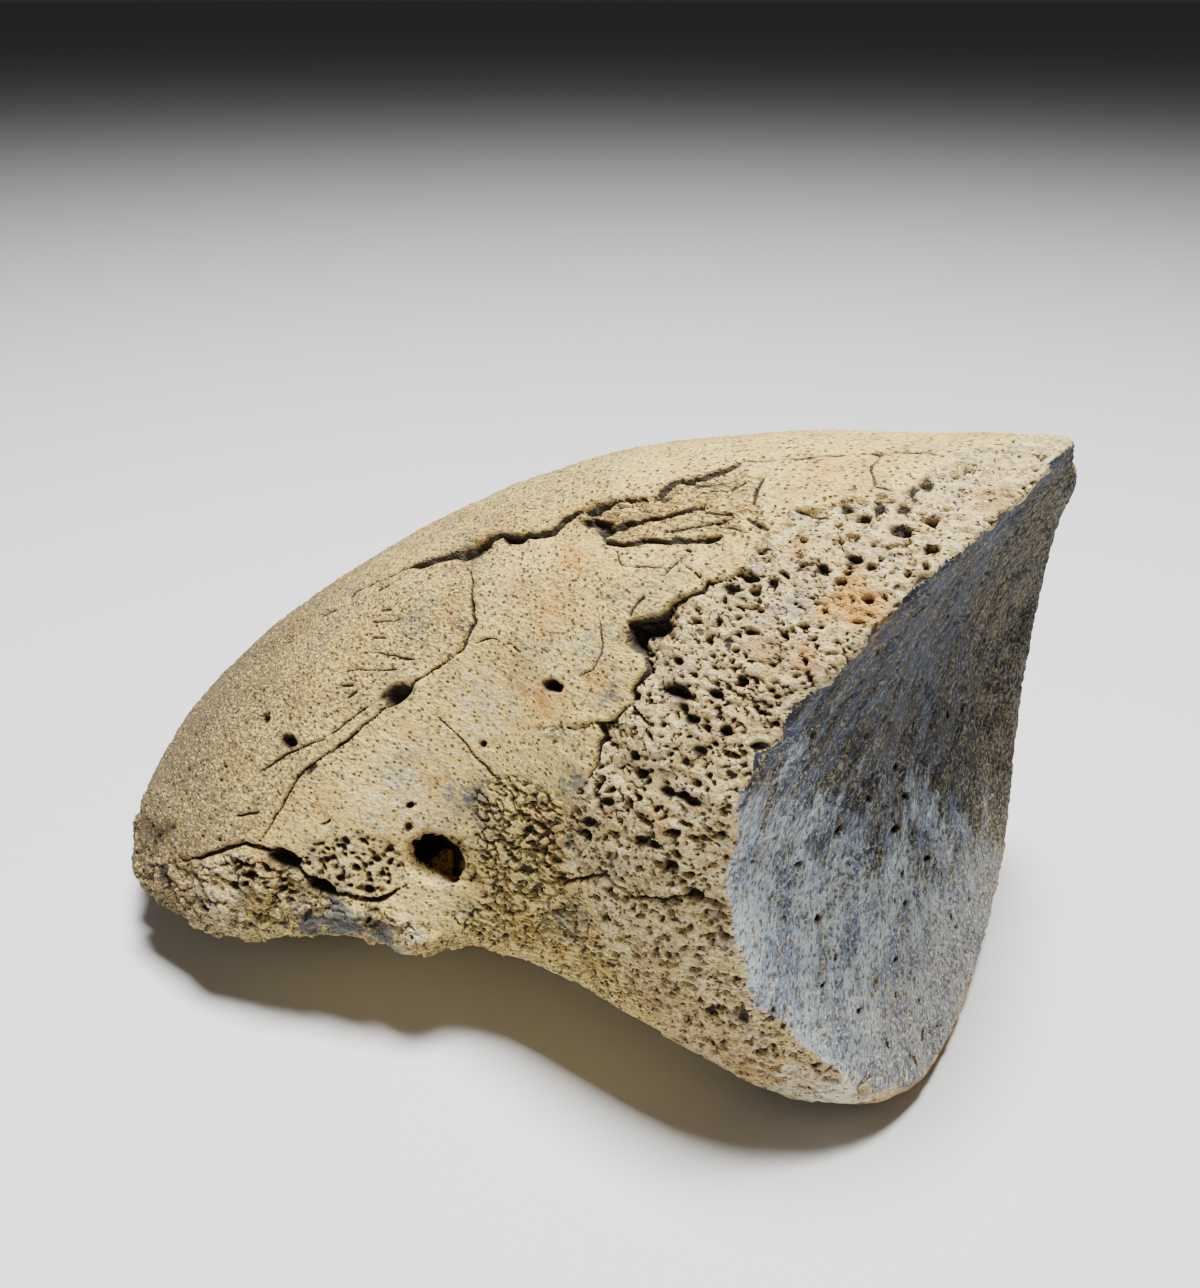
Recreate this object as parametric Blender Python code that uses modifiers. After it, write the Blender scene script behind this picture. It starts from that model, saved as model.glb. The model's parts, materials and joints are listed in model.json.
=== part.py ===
"""Fossil toe bone of a hadrosaur, at life size: the hoof-like end bone of a hind toe, as one closed solid.

The bone lies on its underside, as it rests on a table. X runs along it, with the joint face at +X and
the blunt tip at -X; +Z is its back, and -Y is its left side, with the larger nutrient canal. The origin
is under the middle of the bone, at the level it rests on.
"""

import math
import random

import bmesh
import bpy
from mathutils import Vector
from mathutils.kdtree import KDTree

MM = 0.001

# Driving sizes, in millimetres. Each profile has seven stations, evenly spaced from the joint face
# to the tip.
BONE_LENGTH = 108.5
BACK_HEIGHT = (66.5, 65.0, 60.5, 51.5, 41.5, 32.0, 15.0)
BELLY_HEIGHT = (5.0, 0.0, 7.0, 8.5, 4.0, 0.5, 1.0)
LEFT_HALF_WIDTH = (23.5, 24.5, 22.5, 30.0, 37.0, 40.0, 35.0)
RIGHT_HALF_WIDTH = (37.5, 34.0, 31.5, 33.0, 35.0, 35.5, 33.5)
LEFT_EDGE_HEIGHT = (35.5, 28.0, 22.0, 19.0, 16.0, 9.5, 6.0)
RIGHT_EDGE_HEIGHT = (39.5, 27.0, 20.5, 17.0, 14.0, 9.5, 6.0)

# How full each half of a cross-section is: 2 is an ellipse, and more is squarer.
BACK_FULLNESS = 1.73
BELLY_FULLNESS = 2.37
SIDE_FULLNESS = 2.22

# How fast the tip closes: higher powers keep the width and the height further out.
TIP_WIDTH_POWER = 5
TIP_HEIGHT_POWER = 8

# The rim of the joint face: how far it runs back along the bone at mid height, across it, and by its slants.
RIM_HOLLOW = 33.3
RIM_CROSS_CURVE = 0.0184
RIM_SLANT = 0.158
RIM_LEAN = 9.0
RIM_FADE_POWER = 1.5

# The joint face inside its rim: a hollow from top to bottom, with a low ridge down the middle.
FACE_HOLLOW = 17.0
FACE_RIDGE = 1.6
FACE_RIDGE_WIDTH = 9.0
FACE_RINGS = (0.8, 0.5, 0.22)

# The coarse cage: rings at these shares of the length, each of this many points.
RING_SHARES = (0.0, 0.035, 0.11, 0.21, 0.32, 0.43, 0.54, 0.65, 0.75, 0.84, 0.91, 0.96, 0.99)
RING_POINTS = 16
SMOOTHING_LEVELS = 2

# How sharp the smoothing leaves the rim of the joint face: 1 is a knife edge.
RIM_CREASE = 0.8

# Swellings: the share of the length and the angle of each one's middle, its reach, and its height.
# Those at the top are on the rim of the joint face, at its peak and below it. Those of the left side
# are the lobes of the tip and of the rough edge of the hoof.
TOP_SWELLINGS = (
    (0.0, 140, 6.5, 1.3),
    (0.04, 100, 9.0, 0.8),
)
LEFT_SWELLINGS = (
    (0.79, 26, 5.0, 1.1),
    (0.78, 8, 5.0, 1.1),
    (0.70, 348, 5.5, 1.9),
    (0.61, 354, 5.5, 0.8),
    (0.53, 350, 5.5, 0.8),
    (0.45, 344, 6.0, 1.2),
)

# The right side's rough edge is a row of such swellings, as varied as those of the left.
SWELLING_SEED = 4
SWELLING_SPACING = 8.0
SWELLING_REACH = (5.0, 7.0)
SWELLING_HEIGHT = (0.5, 1.4)
SWELLING_ANGLES = (164, 204)
SWELLING_SHARES = (0.46, 0.95)

# The bone is worn to one level where it rests, on the heel below the joint face and under the tip.
WORN_DEPTH = 1.1

# Nutrient canals: the share and the angle of the mouth, its radius, how deep the canal runs into the bone,
# and how far it leans towards the joint face and upwards on the way.
CANALS = {
    "left_canal": {
        "share": 0.39, "angle": 8, "mouth": 2.6, "end": 1.1, "depth": 17, "forward": 0.75, "up": 0.2
    },
    "right_canal": {
        "share": 0.43, "angle": 176, "mouth": 1.9, "end": 0.9, "depth": 12, "forward": 0.6, "up": 0.1
    },
}
CANAL_STEPS = 6
CANAL_START = 2.5

SHARP_ANGLE = math.radians(50)
MERGE_DISTANCE = 0.00001
BONE_COLOUR = (0.46, 0.37, 0.24, 1.0)
BONE_ROUGHNESS = 0.8


def along(stations, share):
    """The value of a profile at a share of the length, on a smooth curve through its stations."""
    last = len(stations) - 1
    place = min(max(share, 0.0), 1.0) * last
    index = min(int(place), last - 1)
    before = stations[index - 1] if index else 2 * stations[0] - stations[1]
    after = stations[index + 2] if index + 2 <= last else 2 * stations[last] - stations[last - 1]
    start, end = stations[index], stations[index + 1]
    t = place - index
    bend = (2 * before - 5 * start + 4 * end - after) * t * t
    twist = (3 * start - before - 3 * end + after) * t ** 3
    return 0.5 * (2 * start + (end - before) * t + bend + twist)


def rim_setback(across, height):
    """How far the rim of the joint face lies towards the tip, at a place across the bone and a height."""
    level = height / BACK_HEIGHT[0]
    hollow = RIM_HOLLOW * (1 - (2 * level - 1) ** 2)
    return hollow + RIM_LEAN * (level - 0.5) - RIM_SLANT * across - RIM_CROSS_CURVE * across ** 2


def skin_point(share, angle):
    """A point of the skin: angle 0 is the left edge, a quarter turn is the back, half is the right edge."""
    side, rise = math.cos(angle), math.sin(angle)
    left = side >= -1e-9
    width = along(LEFT_HALF_WIDTH if left else RIGHT_HALF_WIDTH, share)
    width *= max(1 - share ** TIP_WIDTH_POWER, 0) ** 0.5
    across = math.copysign(width * abs(side) ** (2 / SIDE_FULLNESS), side)

    edges = along(LEFT_EDGE_HEIGHT, share), along(RIGHT_EDGE_HEIGHT, share)
    middle = sum(edges) / 2
    edge = middle + (edges[0 if left else 1] - middle) * abs(side) ** 1.5
    closing = max(1 - share ** TIP_HEIGHT_POWER, 0) ** 0.5
    if rise >= 0:
        height = edge + (along(BACK_HEIGHT, share) - edge) * rise ** (2 / BACK_FULLNESS) * closing
    else:
        height = edge - (edge - along(BELLY_HEIGHT, share)) * (-rise) ** (2 / BELLY_FULLNESS) * closing

    back = BONE_LENGTH * share + rim_setback(across, height) * (1 - share) ** RIM_FADE_POWER
    return Vector((-back, -across, height)) * MM


def face_hollow(height):
    """How far the joint face lies towards the tip along its middle, at a height."""
    level = height / BACK_HEIGHT[0]
    return FACE_HOLLOW * (1 - (2 * level - 1) ** 2) + RIM_LEAN * (level - 0.5)


def face_point(share, rim):
    """A point of the joint face, at a share of the way from its middle to a point of the rim."""
    centre_height = BACK_HEIGHT[0] / 2
    across, height = -rim.y / MM, rim.z / MM
    here = centre_height + share * (height - centre_height)
    away = share * across
    rise = FACE_RIDGE * math.exp(-((away / FACE_RIDGE_WIDTH) ** 2)) * (1 - share ** 2)
    back = face_hollow(here) + (-rim.x / MM - face_hollow(height)) * share ** 2 - rise
    return Vector((-back, -away, here)) * MM


def bone_cage():
    """The coarse cage of the bone: rings from the joint face to the tip, closed at both ends."""
    angles = [2 * math.pi * step / RING_POINTS for step in range(RING_POINTS)]
    rim = [skin_point(0, angle) for angle in angles]
    rows = [[face_point(share, point) for point in rim] for share in reversed(FACE_RINGS)]
    rows += [[skin_point(share, angle) for angle in angles] for share in RING_SHARES]

    mesh = bmesh.new()
    loops = [[mesh.verts.new(point) for point in row] for row in rows]
    for inner, outer in zip(loops, loops[1:]):
        for step in range(RING_POINTS):
            after = (step + 1) % RING_POINTS
            mesh.faces.new((inner[step], outer[step], outer[after], inner[after]))
    face_middle = mesh.verts.new(face_point(0, rim[0]))
    tip = mesh.verts.new(sum((v.co for v in loops[-1]), Vector()) / RING_POINTS - Vector((0.5 * MM, 0, 0)))
    for step in range(RING_POINTS):
        after = (step + 1) % RING_POINTS
        mesh.faces.new((face_middle, loops[0][step], loops[0][after]))
        mesh.faces.new((tip, loops[-1][after], loops[-1][step]))

    crease = mesh.edges.layers.float.new("crease_edge")
    rim_loop = loops[len(FACE_RINGS)]
    for step in range(RING_POINTS):
        edge = mesh.edges.get((rim_loop[step], rim_loop[(step + 1) % RING_POINTS]))
        edge[crease] = RIM_CREASE
    bmesh.ops.recalc_face_normals(mesh, faces=mesh.faces)
    return mesh


def swellings():
    """The share, angle, reach and height of each swelling of the bone."""
    yield from TOP_SWELLINGS
    yield from LEFT_SWELLINGS
    draw = random.Random(SWELLING_SEED)
    first, last = SWELLING_SHARES
    count = round((last - first) * BONE_LENGTH / SWELLING_SPACING)
    for step in range(count + 1):
        share = first + (last - first) * (step + draw.uniform(-0.3, 0.3)) / count
        angle, reach = draw.uniform(*SWELLING_ANGLES), draw.uniform(*SWELLING_REACH)
        yield share, angle, reach, draw.uniform(*SWELLING_HEIGHT)


def raise_swellings(mesh):
    """Swells the skin outwards round the middle of each swelling."""
    tree = KDTree(len(mesh.vertices))
    for vertex in mesh.vertices:
        tree.insert(vertex.co, vertex.index)
    tree.balance()
    lift = [0.0] * len(mesh.vertices)
    for share, angle, reach, height in swellings():
        middle = skin_point(share, math.radians(angle))
        for _, index, distance in tree.find_range(middle, reach * MM):
            swell = height * MM * (1 - (distance / (reach * MM)) ** 2) ** 2
            lift[index] = max(lift[index], swell)
    moves = [vertex.normal * lift[vertex.index] for vertex in mesh.vertices]
    for vertex, move in zip(mesh.vertices, moves):
        vertex.co += move


def wear_flats(mesh):
    """Wears what reaches lowest down to one level."""
    level = min(vertex.co.z for vertex in mesh.vertices) + WORN_DEPTH * MM
    for vertex in mesh.vertices:
        vertex.co.z = max(vertex.co.z, level)


def centre_over_origin(mesh):
    """Puts the bone's middle over the origin and what it rests on at zero, and returns the move made."""
    low, high = ([pick(v.co[axis] for v in mesh.vertices) for axis in range(3)] for pick in (min, max))
    move = -Vector(((low[0] + high[0]) / 2, (low[1] + high[1]) / 2, low[2]))
    for vertex in mesh.vertices:
        vertex.co += move
    return move


def canal_cutter(name, canal, move):
    """A tapering tube along one nutrient canal, from just outside its mouth to its blind end."""
    angle = math.radians(canal["angle"])
    mouth = skin_point(canal["share"], angle) + move
    inward = Vector((0, math.cos(angle), -math.sin(angle)))
    lean = Vector((canal["forward"], 0, canal["up"]))
    curve = bpy.data.curves.new(name, "CURVE")
    curve.dimensions = "3D"
    curve.bevel_depth = MM
    curve.bevel_resolution = 3
    curve.use_fill_caps = True
    spline = curve.splines.new("POLY")
    spline.points.add(CANAL_STEPS)
    for step, point in enumerate(spline.points):
        share = step / CANAL_STEPS
        depth = -CANAL_START + share * (canal["depth"] + CANAL_START)
        bend = max(depth, 0) ** 2 / canal["depth"]
        point.co = (*(mouth + (inward * depth + lean * bend) * MM), 1)
        point.radius = canal["mouth"] + (canal["end"] - canal["mouth"]) * max(depth, 0) / canal["depth"]
    guide = bpy.data.objects.new(name + "_guide", curve)
    cutters.objects.link(guide)
    tube = bpy.data.meshes.new_from_object(guide.evaluated_get(bpy.context.evaluated_depsgraph_get()))
    bpy.data.objects.remove(guide)
    welded = bmesh.new()
    welded.from_mesh(tube)
    bmesh.ops.remove_doubles(welded, verts=welded.verts, dist=MERGE_DISTANCE)
    bmesh.ops.recalc_face_normals(welded, faces=welded.faces)
    welded.to_mesh(tube)
    welded.free()
    cutter = bpy.data.objects.new(name, tube)
    cutter.hide_render = True
    cutter.display_type = "WIRE"
    cutters.objects.link(cutter)
    return cutter


def bone_material():
    material = bpy.data.materials.new("fossil_bone")
    material.use_nodes = True
    shader = material.node_tree.nodes["Principled BSDF"]
    shader.inputs["Base Color"].default_value = BONE_COLOUR
    shader.inputs["Roughness"].default_value = BONE_ROUGHNESS
    return material


for old in list(bpy.data.objects):
    bpy.data.objects.remove(old)

parts = bpy.data.collections.new("hadrosaur_toe_bone")
cutters = bpy.data.collections.new("cutters")
bpy.context.scene.collection.children.link(parts)
bpy.context.scene.collection.children.link(cutters)

# The smooth form, from the coarse cage.
cage = bone_cage()
cage_mesh = bpy.data.meshes.new("toe_bone_cage")
cage.to_mesh(cage_mesh)
cage.free()
bone = bpy.data.objects.new("toe_bone", cage_mesh)
parts.objects.link(bone)
smoothing = bone.modifiers.new("smooth_form", "SUBSURF")
smoothing.levels = SMOOTHING_LEVELS
smoothing.render_levels = SMOOTHING_LEVELS
mesh = bpy.data.meshes.new_from_object(bone.evaluated_get(bpy.context.evaluated_depsgraph_get()))
mesh.name = "toe_bone"
bone.modifiers.clear()
bone.data = mesh

# The rough edge, the flats that it rests on, and its place.
raise_swellings(mesh)
wear_flats(mesh)
move = centre_over_origin(mesh)
mesh.materials.append(bone_material())
mesh.shade_smooth()
mesh.set_sharp_from_angle(angle=SHARP_ANGLE)

# The nutrient canals.
for name, canal in CANALS.items():
    cut = bone.modifiers.new(name, "BOOLEAN")
    cut.operation = "DIFFERENCE"
    cut.object = canal_cutter(name, canal, move)
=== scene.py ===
import json
import math
from itertools import product

import bmesh
import bpy
import numpy as np
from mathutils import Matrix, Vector
from mathutils.bvhtree import BVHTree
from mathutils.kdtree import KDTree

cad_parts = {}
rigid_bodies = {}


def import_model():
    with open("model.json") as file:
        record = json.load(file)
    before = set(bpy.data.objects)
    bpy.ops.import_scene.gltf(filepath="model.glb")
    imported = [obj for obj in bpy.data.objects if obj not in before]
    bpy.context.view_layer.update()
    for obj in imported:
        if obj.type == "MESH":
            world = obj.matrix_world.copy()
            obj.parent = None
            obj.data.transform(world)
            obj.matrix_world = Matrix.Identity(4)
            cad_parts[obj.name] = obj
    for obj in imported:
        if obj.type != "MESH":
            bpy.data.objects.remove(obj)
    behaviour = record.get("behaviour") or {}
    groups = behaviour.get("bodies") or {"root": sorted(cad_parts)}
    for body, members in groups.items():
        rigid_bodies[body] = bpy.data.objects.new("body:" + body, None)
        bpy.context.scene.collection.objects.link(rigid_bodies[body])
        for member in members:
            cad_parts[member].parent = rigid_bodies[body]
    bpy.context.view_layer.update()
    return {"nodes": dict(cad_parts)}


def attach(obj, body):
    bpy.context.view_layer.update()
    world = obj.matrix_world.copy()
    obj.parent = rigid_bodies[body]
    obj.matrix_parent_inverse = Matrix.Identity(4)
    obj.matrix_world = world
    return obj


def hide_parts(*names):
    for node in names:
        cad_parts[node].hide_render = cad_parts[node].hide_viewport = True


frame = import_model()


# The camera looks down on the bone from beside its joint end, from about 120 mm away, through a lens
# a little wider than a normal one. Features of the bone are placed by pixels of its 1200 x 1288 frame.
MM = 0.001
CAMERA_PLACE = Vector((74.6, -95.4, 94.6)) * MM
CAMERA_HEADING = math.radians(34.55)
CAMERA_PITCH = math.radians(27.3)
FRAME_WIDTH = 1200
FRAME_HEIGHT = 1288
FOCAL_PIXELS = 1250
SENSOR_MM = 36

camera = bpy.data.objects.new("camera", bpy.data.cameras.new("camera"))
bpy.context.scene.collection.objects.link(camera)
camera.location = CAMERA_PLACE
camera.rotation_euler = (math.pi / 2 - CAMERA_PITCH, 0, CAMERA_HEADING)
camera.data.sensor_width = SENSOR_MM
camera.data.lens = FOCAL_PIXELS / FRAME_HEIGHT * SENSOR_MM
camera.data.clip_start = 5 * MM
bpy.context.scene.camera = camera
bpy.context.view_layer.update()


def pixels_of(places):
    """Where places land in the camera's frame, in its pixels."""
    seen = (places - np.array(CAMERA_PLACE)) @ np.array(camera.matrix_world.to_3x3())
    across = FRAME_WIDTH / 2 - FOCAL_PIXELS * seen[:, 0] / seen[:, 2]
    down = FRAME_HEIGHT / 2 + FOCAL_PIXELS * seen[:, 1] / seen[:, 2]
    return np.stack((across, down), axis=1)


# The bone's smooth form: the solid's own surface as a fine even net. Each point of the net keeps how far it
# lies from the rim of the joint face, and the pieces' relief is gathered on it before it is cut into them.
NODE = "toe_bone"
FORM_SPACING = 0.41 * MM
MERGE_DISTANCE = 0.01 * MM
RIM_STEP = 0.5 * MM
RIM_TURN = math.radians(35)
SETBACK_FROM_X = 5 * MM
NO_SETBACK = 99.0
JOINT_FACE_MIDDLE = Vector((39.5, 4.0, 31.0)) * MM
CLOCK_MIDDLE = (-1.2 * MM, 28.2 * MM)


def choose(piece):
    """Selects one piece alone and makes it the active one."""
    for other in bpy.data.objects:
        other.select_set(False)
    piece.select_set(True)
    bpy.context.view_layer.objects.active = piece


def apply_modifier(piece, kind, **settings):
    """Gives a piece a modifier with some settings and applies it."""
    choose(piece)
    modifier = piece.modifiers.new(kind.lower(), kind)
    for name, value in settings.items():
        setattr(modifier, name, value)
    bpy.ops.object.modifier_apply(modifier=modifier.name)


def read_vertices(mesh, what="co"):
    """The places of a mesh's vertices, or their normals, as rows of three."""
    values = np.empty(len(mesh.vertices) * 3)
    mesh.vertices.foreach_get(what, values)
    return values.reshape(-1, 3)


solid_mesh = frame["nodes"][NODE].data.copy()
solid_mesh.materials.clear()
form = bpy.data.objects.new("bone_form", solid_mesh)
bpy.context.scene.collection.objects.link(form)
solid = bmesh.new()
solid.from_mesh(solid_mesh)
bmesh.ops.remove_doubles(solid, verts=solid.verts, dist=MERGE_DISTANCE)
solid.to_mesh(solid_mesh)

# The joint face is what can be reached from its middle without crossing the sharp turn of the rim.
solid.faces.ensure_lookup_table()
solid_tree = BVHTree.FromBMesh(solid)
start = solid_tree.find_nearest(JOINT_FACE_MIDDLE)[2]
inside, frontier = {start}, [start]
while frontier:
    face = solid.faces[frontier.pop()]
    for edge in face.edges:
        if edge.calc_face_angle(0) < RIM_TURN:
            for other in edge.link_faces:
                if other.index not in inside:
                    inside.add(other.index)
                    frontier.append(other.index)
rim_points = []
for edge in solid.edges:
    if len({face.index in inside for face in edge.link_faces}) == 2:
        ends = [vertex.co for vertex in edge.verts]
        steps = max(1, round(edge.calc_length() / RIM_STEP))
        rim_points += [ends[0].lerp(ends[1], step / steps) for step in range(steps)]
solid.free()
rim_tree = KDTree(len(rim_points))
for index, point in enumerate(rim_points):
    rim_tree.insert(point, index)
rim_tree.balance()

apply_modifier(form, "SUBSURF", levels=2, render_levels=2)
apply_modifier(form, "REMESH", mode="VOXEL", voxel_size=FORM_SPACING, use_smooth_shade=True)
apply_modifier(form, "SMOOTH", factor=0.5, iterations=3)
distances = np.full(len(form.data.vertices), NO_SETBACK, np.float32)
for index, vertex in enumerate(form.data.vertices):
    if vertex.co.x > SETBACK_FROM_X:
        inner = solid_tree.find_nearest(vertex.co)[2] in inside
        distances[index] = rim_tree.find(vertex.co)[2] / MM * (-1 if inner else 1)
form.data.attributes.new("setback", "FLOAT", "POINT").data.foreach_set("value", distances)
apply_modifier(form, "SUBSURF", levels=1, render_levels=1)

# The setback is the distance from the rim in mm, below zero inside the joint face. The clock place goes
# round the bone's length: 0 on the left side, 90 along the back, 180 on the right side.
points = read_vertices(form.data)
out = read_vertices(form.data, "normal")
setback = np.empty(len(points), np.float32)
form.data.attributes["setback"].data.foreach_get("value", setback)
clock = np.degrees(np.arctan2(points[:, 2] - CLOCK_MIDDLE[1], CLOCK_MIDDLE[0] - points[:, 1])) % 360
height = np.zeros(len(points))
# The dark mark is painted shade in pits, cracks and hollows; the pale mark is chalky patches, and in a few
# places painted light.
marks = {name: np.zeros(len(points)) for name in ("dark", "orange", "blue", "pale", "worn", "fibres")}


def ramp(values, low, high):
    """0 at low and 1 at high, with a smooth rise between them."""
    share = np.clip((values - low) / (high - low), 0, 1)
    return share * share * (3 - 2 * share)


def noise(places, size, seed):
    """Smooth noise from about -1 to 1 that changes over a size in mm, or over three, one for each axis."""
    draw = np.random.default_rng(seed)
    order = np.tile(draw.permutation(256), 2)
    slopes = draw.normal(size=(256, 3))
    slopes /= np.linalg.norm(slopes, axis=1)[:, None]
    place = places / (np.array(size) * MM) + seed * 7.31
    cell = np.floor(place).astype(int)
    inner = place - cell
    cell &= 255
    eased = inner ** 3 * (inner * (inner * 6 - 15) + 10)
    total = np.zeros(len(places))
    for corner in product((0, 1), repeat=3):
        at = (cell + corner) & 255
        slope = slopes[order[order[order[at[:, 0]] + at[:, 1]] + at[:, 2]]]
        weight = np.where(corner, eased, 1 - eased).prod(axis=1)
        total += weight * (slope * (inner - corner)).sum(axis=1)
    return total * 1.7


def wander(places, size, reach, seed):
    """The places, each shifted up to about a reach in mm by noise of a size in mm."""
    shifts = [noise(places, size, seed + axis) for axis in range(3)]
    return places + np.stack(shifts, axis=1) * reach * MM


def cells(places, size, seed):
    """How far each place is from the nearest of many points scattered a size in mm apart, as a share of
    the size, and that point's lot, a number from 0 to 1."""
    draw = np.random.default_rng(seed)
    order = np.tile(draw.permutation(256), 2)
    scatter, lots = draw.random((256, 3)), draw.random(256)
    place = places / (np.array(size) * MM) + seed * 7.31
    cell = np.floor(place).astype(int)
    nearest, lot = np.full(len(places), 9.0), np.zeros(len(places))
    for step in product((-1, 0, 1), repeat=3):
        at = (cell + step) & 255
        pick = order[order[order[at[:, 0]] + at[:, 1]] + at[:, 2]]
        gap = np.linalg.norm(cell + step + scatter[pick] - place, axis=1)
        closer = gap < nearest
        nearest = np.where(closer, gap, nearest)
        lot = np.where(closer, lots[pick], lot)
    return nearest, lot


def pits(places, size, radius, seed):
    """How far out of a pit each place lies: 0 in its middle, 1 at its edge. The pits have radii between
    two shares of the size, and a lower share below zero leaves some spots without a pit."""
    nearest, lot = cells(places, size, seed)
    return nearest / np.maximum(radius[0] + (radius[1] - radius[0]) * lot, 0.01)


def worms(places, size, width, seed):
    """How far out of a winding groove each place lies: 0 in its middle, 1 at its edge."""
    return np.abs(noise(places, size, seed)) / width


def sunk(share):
    """The depth, from 0 to 1, of a pit or groove at a share of the way from its middle to its edge."""
    return 1 - ramp(share, 0.5, 1.1)


def core(share):
    """The painted shade that goes with a pit or groove: 1 in its middle, a half at its edge."""
    return np.clip(1 - share / 2, 0, 1)


def turned(places, angle):
    """The places turned about the bone's length."""
    across, up = places[:, 1], places[:, 2]
    cosine, sine = math.cos(angle), math.sin(angle)
    return np.stack((places[:, 0], across * cosine - up * sine, across * sine + up * cosine), axis=1)


def raise_mark(name, where, values):
    """Raises a mark on some of the points to at least the values given."""
    marks[name][where] = np.maximum(marks[name][where], values)


class View:
    """One side of the bone as it is seen from some way off. Features are laid on it by their pixels."""

    def __init__(self, spots, seen):
        self.spots, self.seen = spots, seen

    def near(self, line, reach):
        """The points within a reach of a line of pixels, how far they are from it in pixels, the side they
        lie on, above zero below a line that runs to the right, and the share of the line they lie at."""
        line = np.array(line, float)
        low, high = line.min(axis=0) - reach, line.max(axis=0) + reach
        where = np.flatnonzero(self.seen & (self.spots > low).all(axis=1) & (self.spots < high).all(axis=1))
        gap, side, share = np.full(len(where), np.inf), np.zeros(len(where)), np.zeros(len(where))
        for number, (start, end) in enumerate(zip(line, line[1:])):
            way, offset = end - start, self.spots[where] - start
            along = np.clip(offset @ way / (way @ way), 0, 1)
            off = offset - along[:, None] * way
            distance = np.hypot(off[:, 0], off[:, 1])
            nearer = distance < gap
            turn = way[0] * off[:, 1] - way[1] * off[:, 0]
            gap = np.where(nearer, distance, gap)
            side = np.where(nearer, np.sign(turn), side)
            share = np.where(nearer, (number + along) / (len(line) - 1), share)
        close = gap < reach
        return where[close], gap[close], side[close], share[close]

    def crack(self, line, width, depth, dark=0.9):
        """Opens a crack along a line, with a half width in pixels and a depth in mm at its middle, and
        paints shade down it.
        """
        where, gap, _, share = self.near(line, width * 2.6)
        tapered = ramp(share, -0.06, 0.12) * ramp(share, 1.06, 0.88)
        varied = width * (0.85 + 0.5 * noise(points[where], 3, 5)) * tapered
        out_of_crack = gap / np.maximum(varied, 0.01)
        height[where] -= depth * (1 - ramp(out_of_crack, 0.4, 1.5))
        raise_mark("dark", where, core(out_of_crack / dark))

    def ledge(self, line, fall, back):
        """Sinks what lies below a line that runs to the right, by a fall in mm that fades out going back
        from it over a number of pixels."""
        where, gap, side, share = self.near(line, back)
        near_ends = ramp(share, 0, 0.06) * (1 - ramp(share, 0.94, 1))
        height[where] -= fall * np.where(side > 0, 1 - ramp(gap, 0, back), 0) * near_ends

    def hollow(self, place, radii, turn, depth, dark=0.8):
        """Sinks an oval with ragged edges, or raises a knob where its depth is below zero. Its radii are in
        pixels, its turn in degrees and its depth in mm, and its middle of painted shade is a share of it."""
        reach = max(radii) * 1.5
        near = self.seen & (np.abs(self.spots - place) < reach).all(axis=1)
        where = np.flatnonzero(near)
        offset = self.spots[where] - place
        cosine, sine = math.cos(math.radians(turn)), math.sin(math.radians(turn))
        along = (offset[:, 0] * cosine + offset[:, 1] * sine) / radii[0]
        across = (offset[:, 1] * cosine - offset[:, 0] * sine) / radii[1]
        out_of_hollow = np.hypot(along, across) + 0.2 * noise(points[where], 0.8, 6)
        height[where] -= depth * sunk(out_of_hollow)
        if dark:
            raise_mark("dark", where, core(out_of_hollow / dark))

    def stain_and_painted_light(self, name, place, radius, amount):
        """Marks a cloudy patch of a radius in pixels: mostly something the ground left, in a few places
        painted light.
        """
        where = np.flatnonzero(self.seen & (np.abs(self.spots - place) < 1.6 * radius).all(axis=1))
        far = np.hypot(*(self.spots[where] - place).T) / radius
        raise_mark(name, where, amount * (1 - ramp(far + 0.6 * noise(points[where], 1.8, 7), 0.1, 1.4)))

    def inside(self, outline, soft):
        """How far inside a closed outline each point is, from 0 to 1 over a soft border in pixels."""
        share = np.zeros(len(points))
        low, high = np.min(outline, axis=0), np.max(outline, axis=0)
        where = np.flatnonzero(self.seen & (self.spots > low).all(axis=1) & (self.spots < high).all(axis=1))
        across, down = self.spots[where].T
        within = np.zeros(len(where), bool)
        for (x, y), (next_x, next_y) in zip(outline, outline[1:] + outline[:1]):
            if y != next_y:
                crossing = x + (down - y) / (next_y - y) * (next_x - x)
                within ^= ((y > down) != (next_y > down)) & (across < crossing)
        share[where] = within
        edge, gap, _, _ = self.near(outline + outline[:1], soft)
        share[edge] = np.where(share[edge] > 0, ramp(gap, 0, soft), 0)
        return share


# What the camera sees, with the pixels shifted a little by noise so that a line comes out ragged. The far
# side is treated as its mirror image, with features of its own, and the sole as seen from below.
PIXELS_PER_MM = 10.6
FAR = (1, -1, 1)
shifted = wander(points, 1.3, 0.14, 1)
faces_camera = (out * (np.array(CAMERA_PLACE) - points)).sum(axis=1) > 0
mirrored = (out * FAR * (np.array(CAMERA_PLACE) - points * FAR)).sum(axis=1) > 0
near_side = View(pixels_of(shifted), faces_camera)
far_side = View(pixels_of(shifted * FAR), mirrored & (points[:, 1] > 3 * MM))
sole_side = View(shifted[:, :2] / MM * PIXELS_PER_MM, out[:, 2] < -0.5)

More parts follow.
